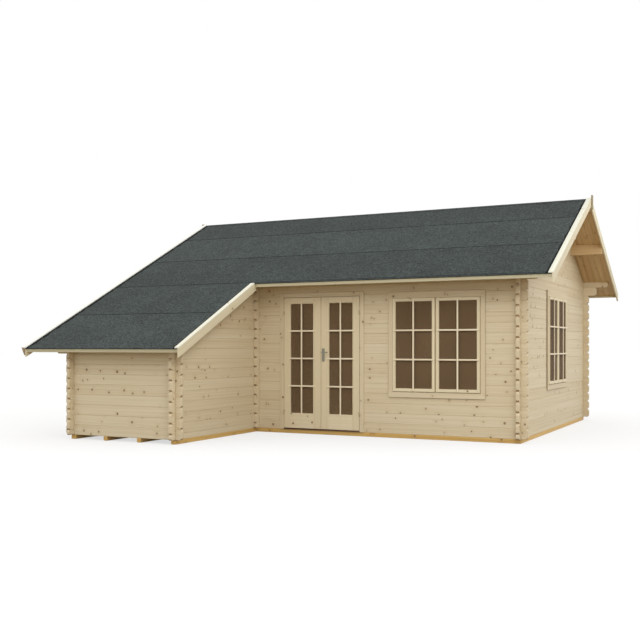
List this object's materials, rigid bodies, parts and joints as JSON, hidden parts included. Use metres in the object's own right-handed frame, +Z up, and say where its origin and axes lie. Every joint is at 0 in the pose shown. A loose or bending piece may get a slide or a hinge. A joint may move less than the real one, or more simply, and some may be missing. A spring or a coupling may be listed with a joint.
{
  "type": "log cabin",
  "caption": "Garden log cabin with notched log walls, a glazed double door, casement windows and a low side store under one long felted roof slope.",
  "frame": {"origin": "on the ground, under the middle of the roof's outline", "axes": "+Z up, -Y the front with the double door, +X the gable with the window"},
  "size_m": [6.522, 6.8562, 3.3397],
  "materials": {
    "spruce_log": "planed spruce with knots",
    "joinery": "planed spruce",
    "planed_board": "planed spruce",
    "roof_timber": "planed spruce",
    "floor_wood": "planed spruce",
    "treated_timber": "pressure treated, ochre",
    "dark_hardwood": "oiled",
    "roofing_felt": "mineral felt",
    "window_glass": "dark tinted",
    "satin_steel": "satin"
  },
  "bodies": {
    "cabin": {"annex_front_wall": "spruce_log", "annex_right_wall": "spruce_log", "annex_verge_boards": "planed_board", "back_wall": "spruce_log", "base_beams": "treated_timber", "door_head": "joinery", "door_hinge_pins": "satin_steel", "door_left_jamb": "joinery", "door_right_jamb": "joinery", "door_threshold": "dark_hardwood", "eave_fascias": "planed_board", "floor_boards": "floor_wood", "floor_joists": "treated_timber", "front_wall_below_window": "spruce_log", "front_wall_left": "spruce_log", "front_wall_middle": "spruce_log", "front_wall_right": "spruce_log", "front_wall_top": "spruce_log", "front_window_frame": "joinery", "front_window_glass": "window_glass", "front_window_sashes": "joinery", "inner_corner_log_ends": "spruce_log", "left_verge_boards": "planed_board", "left_wall": "spruce_log", "purlins": "roof_timber", "right_gable": "spruce_log", "right_verge_boards": "planed_board", "right_wall_back": "spruce_log", "right_wall_below_window": "spruce_log", "right_wall_front": "spruce_log", "roof_boards_back": "roof_timber", "roof_boards_front": "roof_timber", "roof_felt_back": "roofing_felt", "roof_felt_front": "roofing_felt", "side_window_frame": "joinery", "side_window_glass": "window_glass", "side_window_sashes": "joinery"},
    "left_leaf": {"left_door_leaf": "joinery", "left_door_glass": "window_glass", "left_door_hinges": "satin_steel"},
    "right_leaf": {"right_door_leaf": "joinery", "right_door_glass": "window_glass", "right_door_hinges": "satin_steel", "door_handle_plates": "satin_steel"},
    "lever": {"door_lever": "satin_steel"}
  },
  "joints": [
    {"name": "left_door_hinge", "type": "hinge", "parent": "cabin", "child": "left_leaf", "pos_m": [-0.5755, -1.221, 0.076], "axis": [0, 0, -1], "range_deg": [0, 100]},
    {"name": "right_door_hinge", "type": "hinge", "parent": "cabin", "child": "right_leaf", "pos_m": [0.5825, -1.221, 0.076], "axis": [0, 0, 1], "range_deg": [0, 100]},
    {"name": "lever_turn", "type": "hinge", "parent": "right_leaf", "child": "lever", "pos_m": [0.042, -1.213, 1.132], "axis": [0, 1, 0], "range_deg": [0, 40], "stiffness_Nm_per_rad": 1.5}
  ]
}
